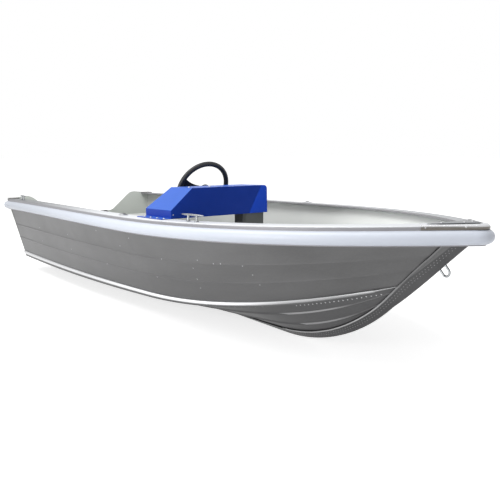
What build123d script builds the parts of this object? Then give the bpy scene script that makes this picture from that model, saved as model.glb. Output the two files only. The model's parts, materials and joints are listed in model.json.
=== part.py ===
from build123d import *
import math
import os

# Side console boat: a small riveted aluminium V hull with a helm console on its starboard gunwale.
# Frame: +X to the bow, +Y to port, +Z up. The origin is on the waterline, amidships on the centreline.
# Hull stations (names ending _x) count forward from the transom's top edge, and heights (names ending
# _z) count up from the keel line. place() turns both into the frame. Millimetres and degrees.

os.makedirs("parts", exist_ok=True)

# Hull lines
hull_length = 4000
draft = 130
transom_half_beam = 654
max_half_beam = 715
bow_entry_length = 1759
bow_fullness = 2.37
aft_taper_power = 1.5
sheer_transom_z = 583
sheer_bow_z = 710
sheer_hollow = 61
sheer_twist = 154
transom_rake = 11.3
chine_half_beam = 556
chine_fullness = 2.5
chine_z = 124
chine_lift_length = 1951
chine_lift_power = 2.0
chine_stem_z = 430
stem_angle = 43.4
stem_setback = 12
forefoot_radius = 1050

# Sheet, band and bar thicknesses
plate = 4
seam_gap = 0.3
stem_gap = 6
band_gap = 4.6
band_thickness = 3
stem_band_width = 34
stem_band_nose = 5
stem_band_depth = 16
stem_band_setback = 70

# Pressed forms in the plates
swage_half_width = 9
swage_depth = 4
swage_fade = 0.8
swage_fade_power = 6
side_swage_shares = (0.315, 0.55)
strake_half_width = 16
strake_depth = 9
bottom_strake_shares = (0.36, 0.70)

# Chine rail
chine_bead_height = 30
chine_bead_bulge = 11
chine_lip_drop = 16
chine_lip_thickness = 4
chine_lip_fade_power = 4
chine_bead_fade_power = 24
chine_rail_end_share = 0.955

# Gunwale extrusion and fender
gunwale_width = 80
gunwale_wall = 4
gunwale_edge_radius = 8
gunwale_web_height = 84
gunwale_inner_lip = 9
gunwale_foot = 16
side_tuck = 2.5
side_top_gap = 3
side_foot = 5
fender_radius = 30
fender_drop = 19.5

# Bow fittings
bow_nose_length = 34
bow_cap_sheet = 2
bow_cap_drop = 17.5
bow_cap_lip = 18
bow_cap_nose = 9
bow_cap_start_share = 0.952
breasthook_sheet = 3
breasthook_lift = 4.2
breasthook_length = 165
breasthook_inset = 20
breasthook_hollow = 22

# Transom
transom_sheet = 5
cutout_depth = 146
cutout_half_width = 258
cutout_fillet = 90
shoulder_rise = 22
shoulder_half_width = 470
shoulder_fillet = 110
motor_pad_width = 430
motor_pad_height = 250
motor_pad_outer_sheet = 20
motor_pad_inner_sheet = 34
motor_pad_corner = 30
stern_cap_length = 90
stern_cap_sheet = 5
stern_cap_corner = 24

# Floor and benches
floor_z = 150
floor_sheet = 16
floor_aft_x = 150
floor_reach = 150
floor_stations = 14
fit_gap = 4.5
bench_height = 265
bench_depth = 290
bench_corner = 14
aft_bench_x = 215
bow_bench_setback = 1170
helm_leg_room = 445

# Helm console
console_to_bow_bench = 190
console_depth = 265
console_dash_lean = 26
console_outboard_y = -618
console_inboard_y = -6
console_height = 150
console_band_height = 42
console_slope_run = 128
console_sheet = 3
console_top_corner = 20
console_flange_width = 54
console_lift = 0.6
pedestal_width = 145
pedestal_depth = 75
pedestal_setback = 30
pedestal_rise = 55
pedestal_foot = 25
pedestal_foot_sheet = 4

# Steering
wheel_radius = 170
wheel_rim_radius = 14
wheel_y = -225
wheel_up_dash = 56
wheel_standoff = 82
wheel_shaft_radius = 10
wheel_shaft_clearance = 0.05
wheel_shaft_seat = 24
wheel_hub_radius = 36
wheel_hub_height = 24
wheel_dish = 22
spoke_width = 36
spoke_sheet = 9
spoke_bearings = (-16, 164, 254)
helm_bezel_radius = 54
helm_bezel_top_radius = 34
helm_bezel_height = 46
helm_drum_radius = 50
helm_drum_depth = 50

# Fittings
cleat_length = 150
cleat_height = 36
cleat_bar_radius = 5.5
cleat_leg_radius = 4.5
cleat_leg_spacing = 56
cleat_pad_radius = 11
cleat_pad_sheet = 4
cleat_lift = 1.5
bow_cleat_gap = 210
stern_cleat_x = 330
bow_eye_rod_radius = 5
bow_eye_width = 44
bow_eye_reach = 46
bow_eye_z = 520
rowlock_gap = 155
rowlock_bore_radius = 6.6
rowlock_boss_radius = 13
rowlock_height = 8
rowlock_plate_length = 64
rowlock_plate_width = 34
rowlock_plate_sheet = 3


def place(x, y, z):
    """A point given by station, offset and height above the keel, in the part's frame."""
    return Vector(x - hull_length / 2, y, z - draft)


# Stations of the hull's lines and of what stands in it
max_beam_x = hull_length - bow_entry_length
chine_lift_x = hull_length - chine_lift_length
bow_bench_x = hull_length - bow_bench_setback
console_front_x = bow_bench_x - console_to_bow_bench
console_aft_x = console_front_x - console_depth
helm_bench_x = console_aft_x - helm_leg_room - bench_depth
floor_fore_x = bow_bench_x + floor_reach
bow_cleat_x = console_front_x + bow_cleat_gap
rowlock_x = console_aft_x - rowlock_gap

# Places on the hull's centre plane
stem_rise = math.tan(math.radians(stem_angle))
stem_foot_x = hull_length - stem_setback - sheer_bow_z / stem_rise
forefoot_tangent = forefoot_radius * math.tan(math.radians(stem_angle / 2))
forefoot_x = stem_foot_x - forefoot_tangent
forefoot_end_x = forefoot_x + forefoot_radius * math.sin(math.radians(stem_angle))
transom_lean = math.tan(math.radians(transom_rake))
chine_aft_x = (sheer_transom_z - chine_z) * transom_lean
keel_aft_x = sheer_transom_z * transom_lean
chine_stem_x = stem_foot_x + chine_stem_z / stem_rise
chine_stem_slope = chine_lift_power * (chine_stem_z - chine_z) / (chine_stem_x - chine_lift_x)
plate_edge_rise = stem_band_depth / math.cos(math.radians(stem_angle))
plate_stem_x = chine_stem_x - plate_edge_rise / (stem_rise - chine_stem_slope)
side_top_setback = stem_setback + (plate_edge_rise + gunwale_wall + side_top_gap) / stem_rise


# Plane of the raked transom: local x points to port and local y up it
rake = math.radians(transom_rake)
transom_up = Vector(-math.sin(rake), 0, math.cos(rake))
transom_plane = Plane(
    origin=place(0, 0, sheer_transom_z),
    x_dir=(0, 1, 0),
    z_dir=Vector(0, 1, 0).cross(transom_up),
)


# Hull lines of the starboard half, as functions of the station
def sheer_z(x):
    share = x / hull_length
    straight = sheer_transom_z + (sheer_bow_z - sheer_transom_z) * share
    hollow = sheer_hollow * share * (share - 1)
    twist = sheer_twist * share * (1 - share) * (0.5 - share)
    return straight + hollow + twist


def sheer_half_beam(x):
    if x <= max_beam_x:
        narrowing = ((max_beam_x - x) / max_beam_x) ** aft_taper_power
        return max_half_beam - (max_half_beam - transom_half_beam) * narrowing
    share = (x - max_beam_x) / (hull_length - max_beam_x)
    return max_half_beam * (1 - share**bow_fullness)


def chine_half_width(x):
    share = max(0.0, (x - chine_aft_x) / (chine_stem_x - chine_aft_x))
    return chine_half_beam * (1 - min(1.0, share) ** chine_fullness)


def chine_height(x):
    share = max(0.0, (x - chine_lift_x) / (chine_stem_x - chine_lift_x))
    return chine_z + (chine_stem_z - chine_z) * share**chine_lift_power


def keel_height(x):
    if x <= forefoot_x:
        return 0.0
    if x <= forefoot_end_x:
        return forefoot_radius - math.sqrt(forefoot_radius**2 - (x - forefoot_x) ** 2)
    return (x - stem_foot_x) * stem_rise


def sheer_edge(share):
    """Outer top edge of the starboard gunwale."""
    x = hull_length * share
    return place(x, -sheer_half_beam(x), sheer_z(x))


def sheer_outward(share):
    """Level direction pointing outboard from the starboard sheer."""
    step = 0.005
    before = sheer_edge(max(0.0, share - step))
    after = sheer_edge(min(1.0, share + step))
    along = Vector(after.X - before.X, after.Y - before.Y, 0).normalized()
    return Vector(along.Y, -along.X, 0)


def side_top_point(share):
    """Top edge of the side plate, tucked into the corner of the gunwale extrusion."""
    share = share * (1 - side_top_setback / hull_length)
    inset = sheer_outward(share) * (gunwale_wall + side_tuck)
    edge = sheer_edge(share) - inset
    return Vector(edge.X, min(-stem_gap, edge.Y), edge.Z - gunwale_wall - side_top_gap)


def chine_point(share):
    x = chine_aft_x + (plate_stem_x - chine_aft_x) * share
    return place(x, -max(stem_gap, chine_half_width(x)), chine_height(x))


def keel_slope(x):
    """Rise angle of the keel and stem line, in radians."""
    if x <= forefoot_x:
        return 0.0
    if x <= forefoot_end_x:
        return math.asin((x - forefoot_x) / forefoot_radius)
    return math.radians(stem_angle)


def keel_inward(x):
    """Direction from the keel and stem line into the hull."""
    return Vector(-math.sin(keel_slope(x)), 0, math.cos(keel_slope(x)))


def keel_point(share):
    """Lower edge of the bottom plate, behind the nose of the keel and stem band."""
    x = keel_aft_x + (plate_stem_x - keel_aft_x) * share
    return place(x, -stem_gap, keel_height(x)) + keel_inward(x) * stem_band_depth


def section_plane(lower_line, upper_line, share):
    """Plane across a plate: local x runs up the plate from its lower edge, local y points outboard."""
    step = 0.01
    before = max(0.0, share - step)
    after = min(1.0, share + step)
    along = lower_line(after) + upper_line(after) - lower_line(before) - upper_line(before)
    rise = upper_line(share) - lower_line(share)
    outward = along.cross(rise).normalized()
    return Plane(origin=lower_line(share), x_dir=rise, z_dir=rise.cross(outward))


def sheer_plane(share):
    """Upright plane across the gunwale: local x points outboard and local y up."""
    outward = sheer_outward(share)
    return Plane(origin=sheer_edge(share), x_dir=outward, z_dir=outward.cross(Vector(0, 0, 1)))


def plate_width(lower_line, upper_line, share):
    return (upper_line(share) - lower_line(share)).length


def pressed_outline(start, end, centres, half_width, depth):
    """Closed outline of a sheet from start to end along x, with a pressed ridge at each centre."""
    outer = [(start, 0)]
    for centre in centres:
        outer += [(centre - half_width, 0), (centre, depth), (centre + half_width, 0)]
    outer.append((end, 0))
    inner = [(x, y - plate) for x, y in reversed(outer)]
    return outer + inner


def inside_half_width(x, z):
    """Clear half width inside the plates at a station and height, found along the plates' straight lines."""
    on_side = z >= chine_height(x)
    lower_line = chine_point if on_side else keel_point
    upper_line = side_top_point if on_side else chine_point
    halvings = 40
    low = 0.0
    high = 1.0
    for _ in range(halvings):
        share = (low + high) / 2
        start = lower_line(share)
        rise = upper_line(share) - start
        point = start + rise * ((z - draft - start.Z) / rise.Z)
        if point.X + hull_length / 2 < x:
            low = share
        else:
            high = share
    lean = rise.length / rise.Z if on_side else rise.length / abs(rise.Z)
    return -point.Y - plate * lean - fit_gap


def spread(start, end, count):
    """Evenly spaced shares from start to end."""
    return [start + (end - start) * index / (count - 1) for index in range(count)]


def save(piece, name):
    piece.label = name
    export_step(piece, f"parts/{name}.step")


def save_pair(piece, name):
    """Write a starboard piece and its mirror image on the port side."""
    save(piece, f"{name}_starboard")
    with BuildPart() as port:
        mirror(piece, about=Plane.XZ)
    save(port.part, f"{name}_port")


# Side plates: one sheet from the chine to the sheer, with two pressed swages along it
max_beam_share = max_beam_x / hull_length
# Each run of shares along the hull is one smooth stretch, lofted by itself and joined to the next.
side_runs = (spread(0, max_beam_share, 5), spread(max_beam_share, 1.0, 5))
with BuildPart() as side:
    for run in side_runs:
        for share in run:
            width = plate_width(chine_point, side_top_point, share)
            ridges = [width * ridge for ridge in side_swage_shares]
            depth = swage_depth * (1 - swage_fade * share**swage_fade_power)
            with BuildSketch(section_plane(chine_point, side_top_point, share)):
                with BuildLine():
                    Polyline(*pressed_outline(side_foot, width, ridges, swage_half_width, depth), close=True)
                make_face()
        loft()
    split(bisect_by=transom_plane, keep=Keep.TOP)
save_pair(side.part, "side")

# Bottom plates: one sheet from the keel to the chine, with two pressed strakes that shrink to the bow
chine_lift_share = (chine_lift_x - chine_aft_x) / (plate_stem_x - chine_aft_x)
forefoot_share = (forefoot_x - keel_aft_x) / (plate_stem_x - keel_aft_x)
bottom_end_share = 0.985
bottom_runs = (
    spread(0, chine_lift_share, 4),
    spread(chine_lift_share, forefoot_share, 3),
    spread(forefoot_share, bottom_end_share, 4),
)
with BuildPart() as bottom:
    for run in bottom_runs:
        for share in run:
            width = plate_width(keel_point, chine_point, share)
            ridges = [width * ridge for ridge in bottom_strake_shares]
            shrink = min(1.0, width / chine_half_beam)
            strake = (strake_half_width * shrink, strake_depth * shrink)
            with BuildSketch(section_plane(keel_point, chine_point, share)):
                with BuildLine():
                    Polyline(*pressed_outline(0, width, ridges, *strake), close=True)
                make_face()
        loft()
    split(bisect_by=transom_plane, keep=Keep.TOP)
save_pair(bottom.part, "bottom")

# Chine rails: a rounded bead over the side's lower edge, with a thin lip that hangs below the chine
chine_rail_runs = (side_runs[0], spread(side_runs[0][-1], chine_rail_end_share, 4))
chine_lip_face = seam_gap + chine_lip_thickness
with BuildPart() as chine_rail:
    for run in chine_rail_runs:
        for share in run:
            lip_drop = chine_lip_drop * (1 - share**chine_lip_fade_power)
            bead_height = chine_bead_height * (1 - share**chine_bead_fade_power)
            with BuildSketch(section_plane(chine_point, side_top_point, share)):
                with BuildLine():
                    Polyline(
                        (bead_height, chine_lip_face),
                        (bead_height, seam_gap),
                        (-lip_drop, seam_gap),
                        (-lip_drop, chine_lip_face),
                        (0, chine_lip_face),
                    )
                    ThreePointArc(
                        (0, chine_lip_face),
                        (bead_height / 2, chine_bead_bulge),
                        (bead_height, chine_lip_face),
                    )
                make_face()
        loft()
    split(bisect_by=transom_plane, keep=Keep.TOP)
save_pair(chine_rail.part, "chine_rail")


def band_plane(x):
    """Plane across the keel and stem line: local x points to port and local y into the hull."""
    return Plane(
        origin=place(x, 0, keel_height(x)),
        x_dir=(0, 1, 0),
        z_dir=Vector(0, 1, 0).cross(keel_inward(x)),
    )


def stem_height(point):
    """Height of the stem line straight out from a point on the plates' forward edge."""
    stem_foot = place(stem_foot_x, 0, 0)
    inward = keel_inward(hull_length)
    return point.Z - stem_foot.Z - (point - stem_foot).dot(inward) * inward.Z


def band_seat(x):
    """Edge of the plate that the band covers at a station, and the direction in which the plate leaves it."""
    share = (x - keel_aft_x) / (plate_stem_x - keel_aft_x)
    if share < bottom_end_share:
        return keel_point(share), chine_point(share) - keel_point(share)
    chine_level = stem_height(chine_point(1.0))
    sheer_level = stem_height(side_top_point(1.0))
    up_stem = min(1.0, max(0.0, (keel_height(x) - chine_level) / (sheer_level - chine_level)))
    edge = chine_point(1.0) * (1 - up_stem) + side_top_point(1.0) * up_stem
    near_bow = 0.986
    chine_run = chine_point(near_bow) - chine_point(1.0)
    sheer_run = side_top_point(near_bow) - side_top_point(1.0)
    return edge, chine_run * (1 - up_stem) + sheer_run * up_stem


def band_section(x):
    """Outline of the folded band across the stem: two flanges on the plates and a blunt nose."""
    inward = keel_inward(x)
    edge, run = band_seat(x)
    angle = math.atan2(-run.Y, run.dot(inward))
    flange = Vector(math.sin(angle), math.cos(angle))
    outward = Vector(math.cos(angle), -math.sin(angle))
    depth = (edge - place(x, 0, keel_height(x))).dot(inward)
    seam = Vector(-edge.Y, depth) + outward * band_gap
    inner_tip = seam + flange * stem_band_width
    outer_tip = inner_tip + outward * band_thickness
    fold = seam.Y - seam.X / math.tan(angle)
    nose = min(0.0, fold - band_thickness)
    starboard = [(stem_band_nose, nose), (outer_tip.X, outer_tip.Y), (inner_tip.X, inner_tip.Y), (0, fold)]
    port = [(-across, inside) for across, inside in reversed(starboard[:3])]
    return starboard + port


# Keel bar: the straight stretch of the band, from the transom to the forefoot
keel_runs = (
    spread(keel_aft_x, chine_lift_x, 4),
    spread(chine_lift_x, forefoot_x - seam_gap, 3),
)
with BuildPart() as keel_bar:
    for run in keel_runs:
        for x in run:
            with BuildSketch(band_plane(x)):
                with BuildLine():
                    Polyline(*band_section(x), close=True)
                make_face()
        loft()
    split(bisect_by=transom_plane, keep=Keep.TOP)
save(keel_bar.part, "keel_bar")

# Stem band: the folded cover over the joint of the plates, round the forefoot and up to the bow
stem_runs = (
    spread(forefoot_x, forefoot_end_x, 4),
    spread(forefoot_end_x, hull_length - stem_band_setback, 4),
)
with BuildPart() as stem_band:
    for run in stem_runs:
        for x in run:
            with BuildSketch(band_plane(x)):
                with BuildLine():
                    Polyline(*band_section(x), close=True)
                make_face()
        loft()
save(stem_band.part, "stem_band")

# Rounded bow: the sheer ends short of its apex, in an arc about an upright axis on the centreline
bow_share = 1 - bow_nose_length / hull_length
bow_outward = sheer_outward(bow_share)
bow_nose_radius = sheer_edge(bow_share).Y / bow_outward.Y
bow_centre = sheer_edge(bow_share) - bow_outward * bow_nose_radius
bow_axis = Axis(bow_centre, (0, 0, 1))
bow_turn = 2 * math.degrees(math.atan2(-bow_outward.Y, bow_outward.X))
sheer_runs = (side_runs[0], spread(max_beam_share, bow_share, 5))


def rounded_corner(reach, rise):
    """Arc round the gunwale's outer top edge, from a point outboard of it to one above it."""
    radius = gunwale_edge_radius
    halfway = math.sqrt(0.5)
    middle = (-radius + (radius + reach) * halfway, -radius + (radius + rise) * halfway)
    ThreePointArc((reach, -radius), middle, (-radius, rise))


# Gunwale extrusions: a top flange with an inner lip, and an outer web that carries the fender
gunwale_web_outline = (
    (-gunwale_wall, -gunwale_wall),
    (-gunwale_wall, -gunwale_web_height + gunwale_wall),
    (-gunwale_foot, -gunwale_web_height + gunwale_wall),
    (-gunwale_foot, -gunwale_web_height),
    (0, -gunwale_web_height),
    (0, -gunwale_edge_radius),
)
gunwale_lip_outline = (
    (-gunwale_edge_radius, 0),
    (-gunwale_width, 0),
    (-gunwale_width, -gunwale_inner_lip),
    (-gunwale_width + gunwale_wall, -gunwale_inner_lip),
    (-gunwale_width + gunwale_wall, -gunwale_wall),
)
gunwale_nose_outline = (
    (-gunwale_edge_radius, 0),
    (-bow_nose_radius, 0),
    (-bow_nose_radius, -gunwale_wall),
)
with BuildPart() as gunwale:
    for run in sheer_runs:
        for share in run:
            with BuildSketch(sheer_plane(share)):
                with BuildLine():
                    Polyline(*gunwale_lip_outline, *gunwale_web_outline)
                    rounded_corner(0, 0)
                make_face()
        loft()
    with BuildSketch(sheer_plane(bow_share)):
        with BuildLine():
            Polyline(*gunwale_nose_outline, *gunwale_web_outline)
            rounded_corner(0, 0)
        make_face()
    revolve(axis=bow_axis, revolution_arc=bow_turn / 2)
    split(bisect_by=Plane.XZ.offset(seam_gap / 2), keep=Keep.TOP)
    split(bisect_by=transom_plane, keep=Keep.TOP)
save_pair(gunwale.part, "gunwale")


def fender_outline():
    """Half-round section of the fender, standing off the gunwale's web by the seam."""
    foot = (seam_gap, -fender_drop - 2 * fender_radius)
    middle = (seam_gap + fender_radius, -fender_drop - fender_radius)
    top = (seam_gap, -fender_drop)
    ThreePointArc(foot, middle, top)
    Line(top, foot)


# Fender: a half-round white tube along both gunwale webs, turned round the bow in one piece
with BuildPart() as fender_side:
    for run in sheer_runs:
        for share in run:
            with BuildSketch(sheer_plane(share)):
                with BuildLine():
                    fender_outline()
                make_face()
        loft()
    split(bisect_by=transom_plane, keep=Keep.TOP)
with BuildPart() as fender:
    with BuildSketch(sheer_plane(bow_share)):
        with BuildLine():
            fender_outline()
        make_face()
    revolve(axis=bow_axis, revolution_arc=bow_turn)
    add(fender_side.part)
    mirror(fender_side.part, about=Plane.XZ)
save(fender.part, "fender")


def bow_cap_outline(reach):
    """Section of the strip over the gunwale's edge, as far outboard as reach."""
    rise = seam_gap + bow_cap_sheet
    rounded_corner(reach, rise)
    Polyline(
        (-gunwale_edge_radius, rise),
        (-bow_cap_lip, rise),
        (-bow_cap_lip, seam_gap),
        (-gunwale_edge_radius, seam_gap),
    )
    rounded_corner(seam_gap, seam_gap)
    Polyline(
        (seam_gap, -gunwale_edge_radius),
        (seam_gap, -bow_cap_drop),
        (reach, -bow_cap_drop),
        (reach, -gunwale_edge_radius),
    )


# Bow cap: a polished strip folded over the gunwale's edge along both sides, thicker at its nose
with BuildPart() as bow_cap_side:
    for share in spread(bow_cap_start_share, bow_share, 3):
        along = (share - bow_cap_start_share) / (bow_share - bow_cap_start_share)
        with BuildSketch(sheer_plane(share)):
            with BuildLine():
                bow_cap_outline(seam_gap + bow_cap_sheet + bow_cap_nose * along**2)
            make_face()
    loft()
with BuildPart() as bow_cap:
    with BuildSketch(sheer_plane(bow_share)):
        with BuildLine():
            bow_cap_outline(seam_gap + bow_cap_sheet + bow_cap_nose)
        make_face()
    revolve(axis=bow_axis, revolution_arc=bow_turn)
    add(bow_cap_side.part)
    mirror(bow_cap_side.part, about=Plane.XZ)
save(bow_cap.part, "bow_cap")

# Breasthook: a flat plate over both gunwale flanges behind the bow, hollowed at its aft edge
breasthook_fore_x = hull_length / 2 + bow_centre.X + bow_nose_radius - breasthook_inset
breasthook_aft_x = hull_length - breasthook_length - breasthook_inset
breasthook_slope = (sheer_z(hull_length) - sheer_z(breasthook_aft_x)) / (hull_length - breasthook_aft_x)
breasthook_plane = Plane(
    origin=place(breasthook_aft_x, 0, sheer_z(breasthook_aft_x) + breasthook_lift),
    x_dir=(1, 0, breasthook_slope),
    z_dir=(-breasthook_slope, 0, 1),
)
breasthook_aft_y = sheer_half_beam(breasthook_aft_x) - breasthook_inset
with BuildPart() as breasthook:
    with BuildSketch(breasthook_plane):
        with BuildLine():
            Polyline(
                (0, -breasthook_aft_y),
                (breasthook_fore_x - breasthook_aft_x, 0),
                (0, breasthook_aft_y),
            )
            ThreePointArc((0, breasthook_aft_y), (breasthook_hollow, 0), (0, -breasthook_aft_y))
        make_face()
    extrude(amount=breasthook_sheet)
save(breasthook.part, "breasthook")

# Transom: a raked plate with a shoulder each side of the motor cut-out
transom_chine_drop = (sheer_transom_z - chine_z) / math.cos(rake)
transom_keel_drop = sheer_transom_z / math.cos(rake)
with BuildPart() as transom:
    with BuildSketch(transom_plane.offset(-seam_gap)):
        with BuildLine():
            half_outline = (
                (0, -transom_keel_drop),
                (chine_half_beam, -transom_chine_drop),
                (transom_half_beam, 0),
                (shoulder_half_width, shoulder_rise),
                (cutout_half_width, -cutout_depth),
            )
            port_outline = [(-y, z) for y, z in reversed(half_outline[1:])]
            Polyline(*half_outline, *port_outline, close=True)
        make_face()
    extrude(amount=-transom_sheet)
    through = Axis(transom_plane.origin, transom_plane.z_dir)
    shoulder_edges = transom.edges().filter_by(through).sort_by(Axis.Z)[-2:]
    fillet(shoulder_edges, radius=shoulder_fillet)
    across_edges = transom.edges().filter_by(through)
    cutout_edges = across_edges.sort_by(lambda edge: abs(abs(edge.center().Y) - cutout_half_width))[:2]
    fillet(cutout_edges, radius=cutout_fillet)
save(transom.part, "transom")

# Motor pads: a board each side of the transom, under the cut-out
pad_centre = -cutout_depth - motor_pad_height / 2
pad_table = (
    ("motor_pad_outer", -2 * seam_gap - transom_sheet, -motor_pad_outer_sheet),
    ("motor_pad_inner", 0, motor_pad_inner_sheet),
)
for name, face, sheet in pad_table:
    with BuildPart() as motor_pad:
        with BuildSketch(transom_plane.offset(face)):
            with Locations((0, pad_centre)):
                RectangleRounded(motor_pad_width, motor_pad_height, motor_pad_corner)
        extrude(amount=sheet)
    save(motor_pad.part, name)

# Stern caps: a cast corner plate over the aft end of each gunwale
stern_cap_z = sheer_z(stern_cap_length) + seam_gap - draft
with BuildPart() as stern_cap:
    with BuildSketch(Plane.XY.offset(stern_cap_z)):
        middle_y = -transom_half_beam + gunwale_width / 2
        with Locations((-hull_length / 2 + stern_cap_length / 2, middle_y)):
            Rectangle(stern_cap_length, gunwale_width)
        fillet(vertices().sort_by(Axis.X)[-2:], radius=stern_cap_corner)
    extrude(amount=stern_cap_sheet)
save_pair(stern_cap.part, "stern_cap")

# Floor: one flat sheet from the transom to the bow bench, trimmed to the plates
with BuildPart() as floor:
    for x in spread(floor_aft_x, floor_fore_x, floor_stations):
        with BuildSketch(Plane.YZ.offset(x - hull_length / 2)):
            top = inside_half_width(x, floor_z)
            under = inside_half_width(x, floor_z - floor_sheet)
            with BuildLine():
                Polyline(
                    (-top, floor_z - draft),
                    (top, floor_z - draft),
                    (under, floor_z - floor_sheet - draft),
                    (-under, floor_z - floor_sheet - draft),
                    close=True,
                )
            make_face()
    loft(ruled=True)
save(floor.part, "floor")

# Benches: foam-filled thwarts across the hull, standing on the floor
# Aft edge of each bench
bench_table = (("aft_bench", aft_bench_x), ("helm_bench", helm_bench_x), ("bow_bench", bow_bench_x))
bench_foot_z = floor_z + seam_gap
bench_top_z = floor_z + bench_height
for name, aft_x in bench_table:
    with BuildPart() as bench:
        for x in (aft_x, aft_x + bench_depth):
            with BuildSketch(Plane.YZ.offset(x - hull_length / 2)):
                top = inside_half_width(x, bench_top_z)
                foot = inside_half_width(x, bench_foot_z)
                with BuildLine():
                    Polyline(
                        (-top, bench_top_z - draft),
                        (top, bench_top_z - draft),
                        (foot, bench_foot_z - draft),
                        (-foot, bench_foot_z - draft),
                        close=True,
                    )
                make_face()
        loft(ruled=True)
        fillet(bench.edges().filter_by(Axis.Y).group_by(Axis.Z)[-1], radius=bench_corner)
    save(bench.part, name)

# Console: a folded sheet shell, open below, bolted to the starboard gunwale by a flange
console_slope = (sheer_z(console_front_x) - sheer_z(console_aft_x)) / console_depth
console_tilt = math.atan(console_slope)
console_forward = Vector(math.cos(console_tilt), 0, math.sin(console_tilt))
console_up = Vector(-math.sin(console_tilt), 0, math.cos(console_tilt))
console_base = place(console_front_x, 0, sheer_z(console_front_x)) + console_up * console_lift
console_plane = Plane(origin=console_base, x_dir=(0, 1, 0), z_dir=console_forward)
lean = math.radians(console_dash_lean)
dash_foot = console_base - console_forward * console_depth + console_up * console_band_height
dash_up = console_forward * math.sin(lean) + console_up * math.cos(lean)
dash_out = console_up * math.sin(lean) - console_forward * math.cos(lean)
dash_plane = Plane(origin=dash_foot, x_dir=(0, 1, 0), z_dir=dash_out)
with BuildPart() as console:
    with BuildSketch(console_plane):
        with BuildLine():
            slope_top_y = console_outboard_y + console_slope_run
            Polyline(
                (console_outboard_y, 0),
                (console_outboard_y, console_band_height),
                (slope_top_y, console_height),
                (console_inboard_y, console_height),
                (console_inboard_y, 0),
                close=True,
            )
        make_face()
        inboard_corners = vertices().sort_by(Axis.Y)[-2:].sort_by(Axis.Z)
        fillet(inboard_corners[1], radius=console_top_corner)
    extrude(amount=-console_depth)
    split(bisect_by=dash_plane, keep=Keep.BOTTOM)
    underside = console.faces().sort_by(Axis.Z)[0]
    offset(amount=-console_sheet, openings=underside, kind=Kind.INTERSECTION)
    with BuildSketch(Plane(origin=console_base, x_dir=console_forward, z_dir=console_up)):
        with Locations((-console_depth / 2, console_outboard_y - console_flange_width / 2)):
            Rectangle(console_depth, console_flange_width)
    extrude(amount=console_sheet)
save(console.part, "console_shell")

# Console pedestal: a folded post from the floor up into the inboard end of the console
pedestal_front_x = console_front_x - pedestal_setback
pedestal_inboard_y = console_inboard_y - console_sheet - seam_gap
pedestal_foot_z = floor_z + seam_gap
pedestal_top_z = sheer_z(console_aft_x) + pedestal_rise
pedestal_centre = (
    pedestal_front_x - hull_length / 2 - pedestal_depth / 2,
    pedestal_inboard_y - pedestal_width / 2,
)
with BuildPart() as pedestal:
    with BuildSketch(Plane.XY.offset(pedestal_foot_z - draft)):
        with Locations(pedestal_centre):
            Rectangle(pedestal_depth, pedestal_width)
    extrude(amount=pedestal_top_z - pedestal_foot_z)
    with BuildSketch(Plane.XY.offset(pedestal_foot_z - draft)):
        with Locations(pedestal_centre):
            Rectangle(pedestal_depth + 2 * pedestal_foot, pedestal_width + 2 * pedestal_foot)
    extrude(amount=pedestal_foot_sheet)
save(pedestal.part, "console_pedestal")

# Helm: a domed bezel on the dash with the bore that carries the wheel's shaft
helm_centre = dash_foot + Vector(0, wheel_y, 0) + dash_up * wheel_up_dash
helm_plane = Plane(origin=helm_centre + dash_out * seam_gap, x_dir=(0, 1, 0), z_dir=dash_out)
with BuildPart() as helm_bezel:
    with BuildSketch(helm_plane):
        Circle(helm_bezel_radius)
    with BuildSketch(helm_plane.offset(helm_bezel_height)):
        Circle(helm_bezel_top_radius)
    loft()
    with BuildSketch(helm_plane):
        Circle(wheel_shaft_radius + wheel_shaft_clearance)
    extrude(amount=helm_bezel_height, mode=Mode.SUBTRACT)
save(helm_bezel.part, "helm_bezel")

# Steering gear: the drum behind the dash that the shaft turns
gear_plane = helm_plane.offset(-2 * seam_gap - console_sheet)
with BuildPart() as helm_gear:
    with BuildSketch(gear_plane):
        Circle(helm_drum_radius)
    extrude(amount=-helm_drum_depth)
save(helm_gear.part, "helm_gear")

# Steering wheel: rim, dished spokes, hub and the shaft that turns in the helm's bore
wheel_plane = helm_plane.offset(wheel_standoff)
hub_plane = wheel_plane.offset(-wheel_dish)
spoke_reach = wheel_radius - wheel_rim_radius
with BuildPart() as wheel:
    with BuildSketch(Plane(origin=wheel_plane.origin, x_dir=(0, 1, 0), z_dir=dash_up * -1)):
        with Locations((spoke_reach, 0)):
            Circle(wheel_rim_radius)
    revolve(axis=Axis(wheel_plane.origin, dash_out))
    with BuildSketch(hub_plane.offset(-wheel_hub_height / 2)):
        Circle(wheel_hub_radius)
    extrude(amount=wheel_hub_height)
    for bearing in spoke_bearings:
        turn = math.radians(bearing)
        spoke_out = Vector(0, 1, 0) * math.cos(turn) + dash_up * math.sin(turn)
        spoke_rise = (spoke_out * spoke_reach + dash_out * wheel_dish).normalized()
        with BuildSketch(Plane(origin=hub_plane.origin, x_dir=spoke_out.cross(dash_out), z_dir=spoke_rise)):
            Rectangle(spoke_width, spoke_sheet)
        extrude(amount=math.hypot(spoke_reach, wheel_dish))
    with BuildSketch(hub_plane):
        Circle(wheel_shaft_radius)
    extrude(amount=-(wheel_standoff - wheel_dish - wheel_shaft_seat))
save(wheel.part, "steering_wheel")

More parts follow.
